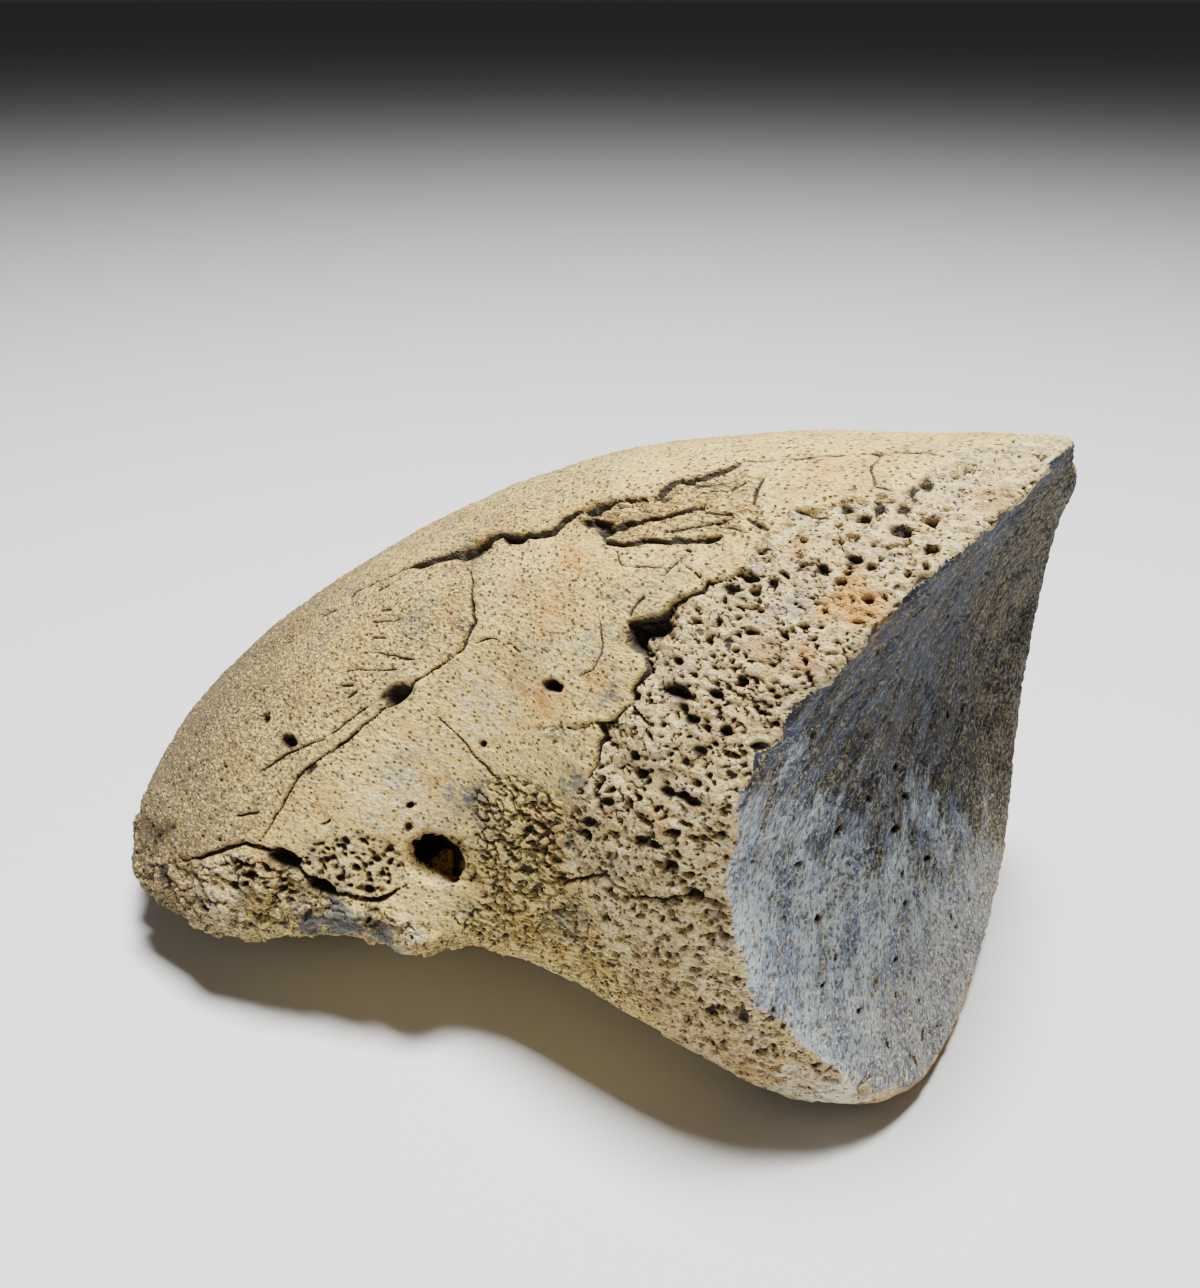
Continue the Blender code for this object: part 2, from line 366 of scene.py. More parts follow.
# The visible edge of the joint face, from its top to its bottom, and the ragged line where the outer shell
# gives way to the open collar. Where they are out of sight, the lines run at set distances from the rim.
RIM_LINE = [
    (1057, 479), (1032, 494), (1006, 512), (981, 535), (955, 555), (930, 576), (912, 591), (894, 609),
    (873, 624), (866, 642), (863, 662), (853, 678), (828, 685), (810, 693), (797, 703), (784, 724),
    (782, 741), (756, 754), (754, 775), (741, 790), (740, 798), (736, 840), (727, 871), (730, 900),
    (736, 939), (746, 956), (748, 980), (756, 1004), (785, 1021), (797, 1041), (821, 1058), (845, 1075),
    (857, 1089),
]
COLLAR_LINE = [
    (1030, 431), (1012, 442), (1000, 451), (975, 449), (955, 455), (946, 465), (932, 469), (922, 481),
    (899, 491), (856, 500), (834, 504), (817, 510), (795, 510), (779, 532), (762, 536), (754, 551),
    (742, 567), (728, 579), (705, 581), (700, 590), (671, 602), (660, 615), (640, 618), (628, 622),
    (627, 640), (640, 655), (645, 670), (632, 690), (629, 703), (612, 722), (597, 723), (603, 735),
    (596, 752), (594, 768), (584, 785), (572, 800), (566, 830), (560, 860), (575, 875), (590, 890),
    (600, 925), (615, 960), (640, 1000), (668, 1030),
]
COLLAR_CLOCK = (
    0, 13, 31, 45, 50, 55, 62, 70, 78, 86, 91, 95, 107, 120, 140, 165, 180, 210, 240, 270, 300, 325, 340,
    360,
)
COLLAR_WIDTH = (
    16, 15, 13.8, 13.6, 15.8, 12.9, 11.8, 12.9, 10.6, 9.1, 8.4, 4.2, 4, 6, 10, 13, 15, 17, 16, 14, 15,
    16.4, 15.6, 16,
)

joint_end = np.flatnonzero(setback < 40)
ragged = noise(points[joint_end], 2.2, 11) + 0.4 * noise(points[joint_end], 0.7, 12)
face_line = setback.astype(float)
face_line[joint_end] += ragged * 0.7
collar_line = setback - np.interp(clock, COLLAR_CLOCK, COLLAR_WIDTH)
collar_line[joint_end] += (ragged + noise(points[joint_end], 6, 13)) * 1.1

# Each drawn line counts within a reach in pixels, and shifts its edge by no more than a leeway in mm.
DRAWN_LINES = ((face_line, RIM_LINE, 45, 1.2), (collar_line, COLLAR_LINE, 60, 99))
for line, pixels, reach, leeway in DRAWN_LINES:
    where, gap, side, share = near_side.near(pixels, reach)
    between = (share > 0.001) & (share < 0.999)
    drawn = (side * gap)[between] / PIXELS_PER_MM
    where = where[between]
    line[where] = np.clip(drawn, line[where] - leeway, line[where] + leeway)


class Wire:
    """The output of a material's node. Sums on wires add the Math nodes that work them out."""

    def __init__(self, tree, socket):
        self.tree, self.socket = tree, socket

    @staticmethod
    def node(tree, kind, settings, inputs, output=0):
        """Adds a node of a type, makes its settings, and gives its sockets their values or wires."""
        made = tree.nodes.new("ShaderNode" + kind)
        for name, value in settings.items():
            setattr(made, name, value)
        for name, value in inputs.items():
            if isinstance(value, Wire):
                tree.links.new(value.socket, made.inputs[name])
            else:
                made.inputs[name].default_value = value
        return Wire(tree, made.outputs[output])

    def math(self, operation, first, second):
        return Wire.node(self.tree, "Math", {"operation": operation}, {0: first, 1: second})

    def __add__(self, other):
        return self.math("ADD", self, other)

    def __sub__(self, other):
        return self.math("SUBTRACT", self, other)

    def __mul__(self, other):
        return self.math("MULTIPLY", self, other)

    def __rsub__(self, other):
        return self.math("SUBTRACT", other, self)

    __radd__, __rmul__ = __add__, __mul__


class Finish:
    """A material on the bone's own coordinates: patterns at real sizes in mm, colours laid one over
    another."""

    def __init__(self, name):
        self.material = bpy.data.materials.new(name)
        self.material.use_nodes = True
        self.tree = self.material.node_tree
        self.shader = self.tree.nodes["Principled BSDF"]
        self.place = Wire.node(self.tree, "TexCoord", {}, {}, "Object")

    def stretched(self, size):
        """The bone's coordinates in units of a size in mm along each axis."""
        scale = tuple(1 / (length * MM) for length in size)
        return Wire.node(self.tree, "VectorMath", {"operation": "MULTIPLY"}, {0: self.place, 1: scale})

    def clouds(self, size, detail=3, rough=0.55):
        """Noise from 0 to 1 that changes over a size in mm, or over three, one for each axis."""
        sizes = size if isinstance(size, tuple) else (size,) * 3
        inputs = {"Vector": self.stretched(sizes), "Scale": 1, "Detail": detail, "Roughness": rough}
        return Wire.node(self.tree, "TexNoise", {}, inputs)

    def dots(self, size, low, high):
        """Scattered dots a size in mm apart: 1 within the low share of it from a dot's middle, 0 beyond the
        high one."""
        inputs = {"Vector": self.stretched(size), "Scale": 1}
        distance = Wire.node(self.tree, "TexVoronoi", {"feature": "F1"}, inputs, "Distance")
        return self.rise(distance, high, low)

    def rise(self, value, low, high):
        """0 below low and 1 above high, with a smooth rise between; the other way round where low is over
        high."""
        inputs = {0: value, 1: low, 2: high, 3: 0.0, 4: 1.0}
        return Wire.node(self.tree, "MapRange", {"interpolation_type": "SMOOTHSTEP"}, inputs)

    def marked(self, name):
        """A value stored on the net's points."""
        return Wire.node(self.tree, "Attribute", {"attribute_name": name}, {}, "Fac")

    def over(self, under, colour, amount):
        """A colour laid over another by an amount."""
        return Wire.node(self.tree, "Mix", {"data_type": "RGBA"}, {0: amount, 6: under, 7: colour}, 2)

    def stained_and_shaded(self, colour, broken):
        """The colour with the ground's marks over it, a few pale ones being painted light, then painted
        shade in and round its pits, cracks and hollows, broken up by a pattern from 0 to 1.
        """
        for name, stain_and_painted_light in STAIN_AND_PAINTED_LIGHT_COLOURS.items():
            amount = self.rise(self.marked(name) + (broken - 0.5) * 1.8, 0.15, 0.9)
            colour = self.over(colour, stain_and_painted_light, amount)
        # Painted shade: a brown halo round pits, cracks and hollows and a near-black middle in them.
        dark = self.marked("dark") + (broken - 0.5) * 0.2
        colour = self.over(colour, PAINTED_SHADE_BROWN, self.rise(dark, 0.12, 0.5) * 0.5)
        return self.over(colour, PAINTED_SHADE_DARK, self.rise(dark, 0.42, 0.58) * 0.95)

    def finish(self, colour, roughness, relief, distance):
        """Ends the material with its colour, its roughness, and its fine relief, a pattern times a distance
        in mm."""
        for name, value in (("Base Color", colour), ("Roughness", roughness)):
            self.tree.links.new(value.socket, self.shader.inputs[name])
        bump = Wire.node(self.tree, "Bump", {}, {"Height": relief, "Distance": distance * MM}, "Normal")
        self.tree.links.new(bump.socket, self.shader.inputs["Normal"])
        return self.material


# The pale colour gives chalky patches and, in a few places, painted light.
STAIN_AND_PAINTED_LIGHT_COLOURS = {
    "pale": (0.74, 0.67, 0.47, 1),
    "blue": (0.105, 0.108, 0.10, 1),
    "orange": (0.58, 0.295, 0.06, 1),
}
# The colours of the painted shade in and round pits, cracks and hollows.
PAINTED_SHADE_BROWN = (0.20, 0.12, 0.05, 1)
PAINTED_SHADE_DARK = (0.022, 0.014, 0.008, 1)
finishes = {}


# The joint face: the smooth plate of dense bone that met the next toe bone. Its edge is broken into small
# steps, and it has blue-grey staining, tan flecks, fine streaks and small pits with painted shade in them.
# Its upper part is darkened by painted shade, and it is darker along its far side and browner at its
# bottom.
FACE_PITS = [
    ((817, 917), (5, 3)), ((848, 660), (4, 3)), ((869, 798), (4, 3)), ((893, 828), (6, 3)),
    ((905, 795), (4, 3)), ((813, 735), (5, 3)), ((797, 863), (4, 2)), ((905, 903), (4, 3)),
    ((867, 735), (5, 2)), ((838, 828), (7, 2)), ((822, 985), (4, 3)), ((895, 960), (4, 2)),
    ((858, 1010), (4, 2)), ((925, 858), (4, 2)), ((895, 766), (5, 3)),
]
FACE_PALE = (0.49, 0.57, 0.62, 1)
# FACE_DARK is the colour of the painted shade on the upper face, and of its dark blotches, streaks and
# darker far side.
FACE_DARK = (0.030, 0.027, 0.022, 1)
FACE_BLUE = (0.095, 0.15, 0.27, 1)
FACE_NAVY = (0.030, 0.040, 0.080, 1)
FACE_BLACK = (0.012, 0.011, 0.010, 1)
FACE_GOLD = (0.52, 0.42, 0.22, 1)
FACE_CHALK = (0.72, 0.70, 0.62, 1)
FACE_BROWN = (0.15, 0.125, 0.095, 1)
FACE_GLOSS = 0.2
STREAK_TURN = math.radians(25)

at = np.flatnonzero(face_line < 0.6)
spread = turned(wander(points[at], 3, 0.8, 14), STREAK_TURN)
slots = pits(spread, (1.7, 1.2, 2.0), (-0.4, 0.24), 18)
relief = 0.16 * noise(points[at], 9, 15) + 0.08 * noise(spread, (2.4, 1.4, 3), 16)
relief += 0.12 * noise(spread, (0.8, 0.6, 1.1), 17) - 0.4 * sunk(slots)
relief -= 0.2 * sunk(worms(spread, (1.0, 0.7, 1.5), 0.25, 19)) * ramp(noise(points[at], 3, 20), -0.1, 0.4)
weight = 1 - ramp(face_line[at], -0.15, 0.15)
height[at] += weight * (relief + 0.12)
raise_mark("dark", at, weight * core(slots))
for place, radii in FACE_PITS:
    near_side.hollow(place, radii, -50, 0.5, 0.9)

look = Finish("joint_face_stains_and_shade")
patches = look.clouds(7, 3, 0.5)
up = Wire.node(look.tree, "SeparateXYZ", {}, {0: look.place}, 2)
across = Wire.node(look.tree, "SeparateXYZ", {}, {0: look.place}, 1)
# Painted shade: the face grows darker towards its top and somewhat towards its far side.
shade = look.rise(up + across * 0.6 + patches * 0.026, 0.028, 0.051)
bottom = look.rise(up + patches * 0.012, 0.026, 0.013)
right = look.rise(across + patches * 0.012, 0.020, 0.029)
turn = {"Vector": look.place, "Angle": STREAK_TURN}
look.place = Wire.node(look.tree, "VectorRotate", {"rotation_type": "X_AXIS"}, turn)
streaks = look.clouds((1.2, 0.9, 2.8), 5, 0.72)
grain = look.clouds((0.42, 0.34, 0.65), 2, 0.6)
flecks = look.clouds((0.36, 0.30, 0.5), 2, 0.6)
blotches = look.clouds((3.2, 2.4, 4.8), 3, 0.6)
shading = shade + (streaks - 0.5) * 1.5 + (blotches - 0.5) * 1.5
colour = look.over(FACE_PALE, FACE_DARK, look.rise(shading, 0.02, 0.72))
blueness = look.clouds((3, 3, 6), 4, 0.65)
# The painted shade also takes the blue and the light flecks away where it is darkest, and adds navy there.
blue = look.rise(blueness, 0.44, 0.60) * (0.75 - shade * 0.45) * (1 - right)
colour = look.over(colour, FACE_BLUE, blue)
navy = look.rise(look.clouds((2, 1.6, 3), 4, 0.7), 0.50, 0.64) * (0.35 + shade * 0.55)
colour = look.over(colour, FACE_NAVY, navy)
colour = look.over(colour, FACE_DARK, right * 0.35)
colour = look.over(colour, FACE_BROWN, bottom * 0.6)
gold = look.rise(flecks + right * 0.05 + (blotches - 0.5) * 0.3, 0.55, 0.64) * (0.85 - shade * 0.5)
colour = look.over(colour, FACE_GOLD, gold)
chalk = look.rise(look.clouds((0.3, 0.24, 0.4), 2, 0.6) - shade * 0.07, 0.55, 0.63) * (0.8 - shade * 0.5)
colour = look.over(colour, FACE_CHALK, chalk)
colour = look.over(colour, FACE_BLACK, look.rise(grain, 0.54, 0.62) * 0.8)
colour = look.stained_and_shaded(colour, grain)
look.shader.inputs["Specular IOR Level"].default_value = FACE_GLOSS
finishes["joint_face"] = look.finish(colour, 0.6 + grain * 0.3, grain * 0.8 + streaks * 0.5, 0.5)


# The collar: the open, spongy bone round the joint end, where the outer layer has worn away. Cream struts
# stand between pores drawn out along the bone, their dark brown being painted shade, and its upper edge is
# a broken cliff.
CLIFFS = [
    ((650, 630), 60, 1.3), ((748, 560), 34, 1.0), ((705, 590), 30, 0.7), ((600, 728), 22, 0.8),
    ((785, 522), 26, 0.7), ((850, 506), 30, 0.4),
]
COLLAR_PITS = [
    ((847, 507), (7, 5)), ((865, 520), (8, 5)), ((879, 508), (6, 5)), ((903, 508), (7, 5)),
    ((926, 484), (7, 6)), ((915, 489), (5, 4)), ((901, 533), (12, 6)), ((856, 561), (9, 5)),
    ((822, 569), (6, 5)), ((750, 577), (9, 6)), ((773, 582), (7, 5)), ((730, 588), (8, 6)),
    ((677, 692), (14, 8)), ((716, 694), (8, 6)), ((744, 681), (6, 5)), ((675, 661), (6, 5)),
    ((692, 720), (8, 6)), ((727, 731), (8, 6)), ((701, 751), (8, 5)), ((636, 756), (6, 5)),
    ((642, 774), (7, 5)), ((668, 792), (8, 5)), ((690, 799), (15, 5)), ((608, 801), (7, 5)),
    ((588, 823), (7, 5)), ((642, 840), (8, 5)), ((655, 844), (6, 4)), ((712, 1010), (8, 5)),
    ((744, 1016), (6, 4)),
]
COLLAR_CRACK = [
    (551, 873), (566, 882), (585, 880), (603, 876), (632, 897), (664, 901), (690, 895), (725, 906),
]
SPONGE_CREAM = (0.62, 0.46, 0.17, 1)
SPONGE_PALE = (0.90, 0.80, 0.47, 1)
SPONGE_TAN = (0.36, 0.21, 0.07, 1)
SPONGE_GREY = (0.26, 0.26, 0.23, 1)

at = np.flatnonzero((collar_line < 0.8) & (face_line > -0.8))
spread = wander(wander(points[at], 3, 0.6, 21), 0.9, 0.16, 22)
coarse = ramp(noise(points[at], 8, 23), -0.5, 0.5)
large = pits(spread, (2.5, 1.7, 1.7), (-0.15, 0.42), 24) / (0.5 + 0.5 * coarse)
middle = pits(spread, (1.35, 0.88, 0.88), (-0.05, 0.50), 25)
small = pits(spread, (0.85, 0.60, 0.60), (0.0, 0.50), 26)
furrows = worms(spread, (2.2, 0.9, 0.9), 0.06, 27)
relief = 0.30 * noise(points[at], 5, 28) + 0.20 * noise(spread, (2.0, 0.8, 0.8), 29)
between_large = 0.75 * sunk(middle) + 0.45 * sunk(small) + 0.2 * sunk(furrows)
relief -= 1.1 * sunk(large) + (1 - sunk(large)) * between_large
nearest_cliff = noise(points[at], 7, 30) * 0.35 + 0.35
for place, reach, fall in CLIFFS:
    away = np.hypot(*(near_side.spots[at] - place).T) / reach
    nearest_cliff = np.maximum(nearest_cliff, fall * (1 - ramp(away, 0.5, 1.3)) * near_side.seen[at])
fall = np.maximum(nearest_cliff, 0.1) * np.exp(np.minimum(collar_line[at], 0) / 3.5)
weight = (1 - ramp(collar_line[at], -0.1, 0.2)) * ramp(face_line[at], -0.2, 0.2)
height[at] += weight * (relief * (0.35 + 0.65 * ramp(face_line[at], 0, 1.5)) - fall + 0.25)
nearest_pore = np.minimum.reduce((large * 1.25, middle * 1.4, small * 1.5, furrows * 2.2))
raise_mark("dark", at, weight * core(nearest_pore))
for place, radii in COLLAR_PITS:
    near_side.hollow(place, radii, 20, 0.12 * radii[1], 0.95)
near_side.crack(COLLAR_CRACK, 1.8, 0.6)
near_side.crack(COLLAR_LINE[16:35], 1.6, 0.5)
# Two hollows under the overhang of the cliff, with painted shade in them.
near_side.hollow((648, 628), (21, 9), -12, 1.2, 1.15)
near_side.hollow((634, 638), (7, 11), 0, 1.0, 1.1)

look = Finish("spongy_bone")
mottle = look.clouds(5, 4, 0.6)
fibre = look.clouds((1.1, 0.4, 0.4), 5, 0.7)
speck = look.clouds(0.32, 2, 0.6)
holes = look.dots((0.6, 0.42, 0.42), 0.16, 0.34) * look.rise(look.clouds(1.6, 2, 0.5), 0.42, 0.56)
up = Wire.node(look.tree, "SeparateXYZ", {}, {0: look.place}, 2)
low = look.rise(up + mottle * 0.016, 0.034, 0.018)
colour = look.over(SPONGE_CREAM, SPONGE_PALE, look.rise(fibre + (speck - 0.5) * 0.7, 0.44, 0.60))
tan = look.rise(mottle + low * 0.12 + (speck - 0.5) * 0.6, 0.50, 0.68) * 0.8
colour = look.over(colour, SPONGE_TAN, tan)
grey = look.rise(look.clouds(3.6, 4, 0.65) + (speck - 0.5) * 0.4, 0.52, 0.64) * 0.65
colour = look.over(colour, SPONGE_GREY, grey)
colour = look.over(colour, SPONGE_TAN, look.rise(speck + low * 0.05, 0.48, 0.61) * 0.7)
# Painted shade in the finest pores, which have only bump.
colour = look.over(colour, PAINTED_SHADE_DARK, holes * 0.85)
colour = look.stained_and_shaded(colour, fibre)
relief = fibre * 0.6 + speck * 0.7 - holes * 0.8
finishes["spongy_collar"] = look.finish(colour, 0.75 + speck * 0.2, relief, 0.5)


# The outer shell of compact bone over the back and the sides. It is cream to tan and full of fine pores,
# with a broken ledge and flaked layers along the back, and cracks and small canals on its sides.
LEDGE = [
    (403, 568), (419, 562), (453, 553), (470, 545), (499, 534), (516, 536), (551, 530), (562, 519),
    (579, 511), (610, 501), (650, 495), (659, 487), (675, 478), (705, 473), (724, 466), (745, 461),
]
LEDGE_ENDS = [
    [(350, 598), (360, 590), (403, 568), (425, 561)],
    [(735, 462), (783, 459), (818, 455), (854, 452), (879, 452), (950, 455)],
]
MIDDLE_LEDGE = [(596, 531), (617, 524), (635, 517), (661, 511), (682, 506), (704, 500)]
LOWER_LEDGE = [
    (601, 528), (603, 540), (623, 543), (640, 539), (663, 541), (682, 540), (705, 539), (724, 535),
]
PLATE_LINES = [
    [(661, 529), (673, 527), (688, 525), (715, 522), (740, 516)],
    [(702, 511), (715, 512), (735, 512)],
    [(747, 518), (758, 526), (770, 530)],
    [(765, 475), (756, 490), (752, 504)],
    [(793, 509), (812, 513), (832, 516)],
    [(680, 476), (705, 480), (735, 474)],
    [(700, 488), (722, 484), (748, 480)],
]
FIBROUS_PATCH = [
    (600, 536), (590, 518), (579, 511), (610, 501), (650, 495), (675, 478), (724, 466), (766, 474),
    (758, 502), (771, 531), (720, 540), (640, 542),
]
MAIN_CRACK = [
    (455, 556), (468, 571), (472, 586), (473, 617), (475, 622), (466, 638), (462, 649), (440, 666),
    (414, 682), (399, 695), (368, 721), (345, 741), (317, 760), (302, 771), (293, 784), (285, 799),
    (276, 814), (267, 830), (261, 841),
]
OPEN_LINES = (
    (LEDGE[:9], 1.9), (LEDGE[8:], 1.0), (MIDDLE_LEDGE, 1.8), (LOWER_LEDGE, 2.2), (MAIN_CRACK, 1.4),
)
NEAR_CRACKS = [
    ([(475, 644), (490, 638), (512, 645), (520, 653)], 1.8, 0.25),
    ([(368, 705), (329, 735)], 1.6, 0.25),
    ([(326, 738), (300, 748), (274, 761), (257, 774)], 2.2, 0.35),
    ([(433, 714), (456, 733), (479, 760), (496, 775), (512, 792), (519, 803)], 1.6, 0.2),
    ([(615, 545), (617, 560), (625, 567), (663, 567)], 1.6, 0.2),
    ([(682, 545), (689, 549), (680, 560), (657, 579)], 2.4, 0.4),
    ([(680, 561), (701, 579)], 2.0, 0.35),
    ([(644, 595), (635, 606), (629, 617)], 2.0, 0.3),
    ([(599, 621), (602, 647), (594, 669), (579, 675)], 1.7, 0.2),
    ([(879, 457), (871, 467), (875, 487), (897, 491)], 1.8, 0.25),
    ([(235, 817), (258, 812)], 2.0, 0.3),
    ([(320, 824), (330, 821)], 2.0, 0.3),
    ([(598, 747), (594, 766)], 2.2, 0.5),
    ([(629, 703), (647, 722)], 2.2, 0.4),
    ([(370, 623), (388, 621), (406, 618)], 1.8, 0.2),
    ([(371, 638), (386, 638)], 2.0, 0.25),
    ([(361, 655), (372, 652), (392, 655), (413, 660)], 1.7, 0.2),
    ([(346, 670), (370, 670), (398, 669)], 1.6, 0.2),
    ([(340, 686), (355, 685)], 2.2, 0.25),
    ([(380, 610), (391, 609)], 2.0, 0.2),
    ([(378, 590), (390, 585)], 2.0, 0.2),
    ([(321, 617), (338, 609)], 2.2, 0.25),
    ([(346, 698), (358, 692)], 2.0, 0.2),
]
NEAR_HOLLOWS = [
    ((472, 548), (20, 8), -28, 0.7, 0.35), ((512, 537), (12, 4), -5, 0.8, 0.9),
    ((596, 506), (18, 5), -25, 0.6, 0.6), ((594, 520), (22, 6), 5, 0.9, 0.9),
    ((603, 529), (9, 7), 0, 0.8, 0.95), ((662, 490), (14, 5), -25, 0.5, 0.5),
    ((395, 694), (19, 10), -35, 1.3, 0.9), ((552, 686), (10, 7), 10, 2.4, 1.0),
    ((288, 741), (8, 8), 0, 1.3, 0.95), ((263, 718), (6, 6), 0, 0.8, 0.6),
    ((482, 743), (4, 4), 0, 0.8, 0.9), ((409, 807), (4, 4), 0, 0.8, 0.9),
    ((407, 827), (4, 4), 0, 0.6, 0.7), ((310, 770), (9, 3), -45, 0.4, 0.8),
    ((879, 454), (9, 3), 5, 0.4, 0.7), ((441, 852), (26, 16), 5, 2.2, 1.0),
    ((460, 872), (22, 13), 35, 1.1, 0.25), ((287, 640), (8, 4), -35, 0.4, 0.4),
]
FAR_CRACKS = [
    ([(380, 640), (420, 622), (470, 610), (520, 612), (575, 590), (640, 580), (700, 560)], 3.0, 0.6),
    ([(470, 610), (462, 650), (440, 700), (410, 730), (360, 760)], 2.2, 0.4),
    ([(575, 590), (590, 640), (582, 690)], 1.9, 0.3),
    ([(250, 800), (300, 770), (340, 775)], 2.0, 0.3),
    ([(560, 740), (530, 780), (500, 790)], 1.8, 0.3),
]
FAR_HOLLOWS = [
    ((520, 720), (8, 6), 0, 2.0, 1.0), ((330, 740), (5, 5), 0, 0.9, 0.9),
    ((410, 730), (12, 7), -30, 0.8, 0.8), ((600, 600), (16, 7), -20, 0.7, 0.6),
    ((452, 800), (4, 4), 0, 0.8, 0.9), ((300, 700), (6, 4), 0, 0.7, 0.7),
]
VERMICULAR = [
    (455, 780), (510, 755), (575, 785), (590, 850), (600, 900), (630, 950), (690, 1010), (690, 1060),
    (590, 1030), (510, 985), (450, 955), (425, 915), (465, 885), (455, 840),
]
MAIN_CRACK_Z = (21, 44, 58)
MAIN_CRACK_X = (-10, 7, 16)
SHELL_CREAM = (0.67, 0.465, 0.115, 1)
SHELL_PALE = (0.88, 0.71, 0.25, 1)
SHELL_TAN = (0.46, 0.26, 0.045, 1)
SHELL_GREY = (0.25, 0.245, 0.15, 1)
SHELL_ORANGE = (0.62, 0.33, 0.05, 1)
PORE_PAINTED_SHADE = (0.05, 0.034, 0.018, 1)
WORN_BROWN = (0.15, 0.112, 0.055, 1)
FIBRE_BROWN = (0.32, 0.19, 0.06, 1)

at = np.flatnonzero(collar_line > -0.6)
spread = wander(points[at], 2, 0.4, 31)
past_crack = np.interp(points[at, 2] / MM, MAIN_CRACK_Z, MAIN_CRACK_X) - points[at, 0] / MM
worn = 0.35 * ramp(past_crack + 3 * noise(points[at], 6, 33), -2, 4)
worn += 0.65 * ramp(-points[at, 0] / MM + 4 * noise(points[at], 6, 34), 4, 30)
relief = 0.25 * noise(points[at], 10, 35) + 0.10 * noise(spread, (5, 2.5, 2.5), 36)
relief += 0.06 * noise(spread, (3.2, 0.7, 0.7), 37)
pitted = pits(spread, (1.1, 0.75, 0.75), (-0.15, 0.42), 38) / (0.35 + 0.65 * worn)
relief -= (0.05 + 0.25 * worn) * sunk(pitted)
relief += (0.03 + 0.15 * worn) * noise(points[at], (1.1, 0.8, 0.8), 39)
winding = np.maximum(near_side.inside(VERMICULAR, 45), far_side.inside(VERMICULAR, 45))[at]
grooves = worms(turned(spread, math.radians(-30)), (1.4, 0.8, 0.62), 0.2, 40)
deep = pits(spread, (1.4, 0.85, 0.85), (-0.1, 0.42), 41)
relief -= winding * (0.5 * sunk(grooves) + 0.45 * sunk(deep) - 0.25)
fibrous = near_side.inside(FIBROUS_PATCH, 4)[at]
splits = worms(points[at], (4.5, 0.6, 0.6), 0.16, 43)
relief -= fibrous * (0.10 + 0.20 * noise(points[at], (4, 1.2, 1.2), 42) + 0.20 * sunk(splits))
weight = ramp(collar_line[at], -0.1, 0.2)
height[at] += weight * relief
raise_mark("dark", at, weight * ramp(winding, 0, 0.6) * core(np.minimum(grooves * 1.7, deep * 1.4)))
raise_mark("dark", at, weight * fibrous * core(splits * 4))
raise_mark("dark", at, weight * core(pitted * 1.3))
raise_mark("worn", at, worn)
raise_mark("fibres", at, fibrous)
near_side.ledge(LEDGE, 0.5, 50)
near_side.ledge(MIDDLE_LEDGE, 0.4, 24)
near_side.ledge(LOWER_LEDGE, 0.35, 30)
for line, width in OPEN_LINES:
    near_side.crack(line, width, 0.5, 1.0)
for line in LEDGE_ENDS:
    near_side.crack(line, 1.2, 0.25)
for line in PLATE_LINES:
    near_side.crack(line, 1.8, 0.3)
for line, width, depth in NEAR_CRACKS:
    near_side.crack(line, width * 0.72, depth)
for place, radii, turn, depth, dark in NEAR_HOLLOWS:
    near_side.hollow(place, radii, turn, depth, dark)
for line, width, depth in FAR_CRACKS:
    far_side.crack(line, width, depth)
for place, radii, turn, depth, dark in FAR_HOLLOWS:
    far_side.hollow(place, radii, turn, depth, dark)
far_side.ledge(FAR_CRACKS[0][0], 0.4, 40)


def compact_look(name):
    """The finish of compact bone, which the shell, the hoof edge and the sole share."""
    look = Finish(name)
    mottle = look.clouds(7, 4, 0.65)
    grain = look.clouds((1.8, 0.45, 0.45), 5, 0.65)
    speck = look.clouds((0.42, 0.28, 0.28), 2, 0.6)
    worn = look.marked("worn")
    pores = look.dots((0.70, 0.58, 0.58), 0.18, 0.30) * look.rise(look.clouds(1.3, 2, 0.5), 0.33, 0.45)
    colour = look.over(SHELL_CREAM, SHELL_PALE, look.rise(grain + (speck - 0.5) * 0.8, 0.42, 0.60))
    tan = look.rise(mottle + (speck - 0.5) * 0.4, 0.50, 0.72) * 0.65
    colour = look.over(colour, SHELL_TAN, tan)
    grey = look.rise(look.clouds(5, 4, 0.65) + (speck - 0.5) * 0.5, 0.50, 0.68) * 0.55
    colour = look.over(colour, SHELL_GREY, grey)
    orange = look.rise(look.clouds(6.3, 4, 0.6) + grain * 0.4, 0.72, 0.86) * 0.6
    colour = look.over(colour, SHELL_ORANGE, orange)
    brown = look.rise(speck + grain * 0.2 + worn * 0.14, 0.59, 0.70) * (0.7 + worn * 0.3)
    colour = look.over(colour, WORN_BROWN, brown)
    fibres = look.rise(look.clouds((3.5, 0.32, 0.32), 3, 0.6), 0.50, 0.60) * look.marked("fibres")
    colour = look.over(colour, FIBRE_BROWN, fibres * 0.45)
    # Painted shade in the fine pores, which have only bump.
    colour = look.over(colour, PORE_PAINTED_SHADE, pores * 0.9)
    colour = look.stained_and_shaded(colour, grain)
    relief = grain * 0.5 + speck * (0.7 + worn * 0.7) - pores * 1.2 - fibres
    return look.finish(colour, 0.72 + speck * 0.2, relief, 0.45)


for side, end in product(("left", "right"), ("heel", "tip")):
    finishes[f"{side}_flank_{end}"] = compact_look(f"compact_bone_{side}_{end}")


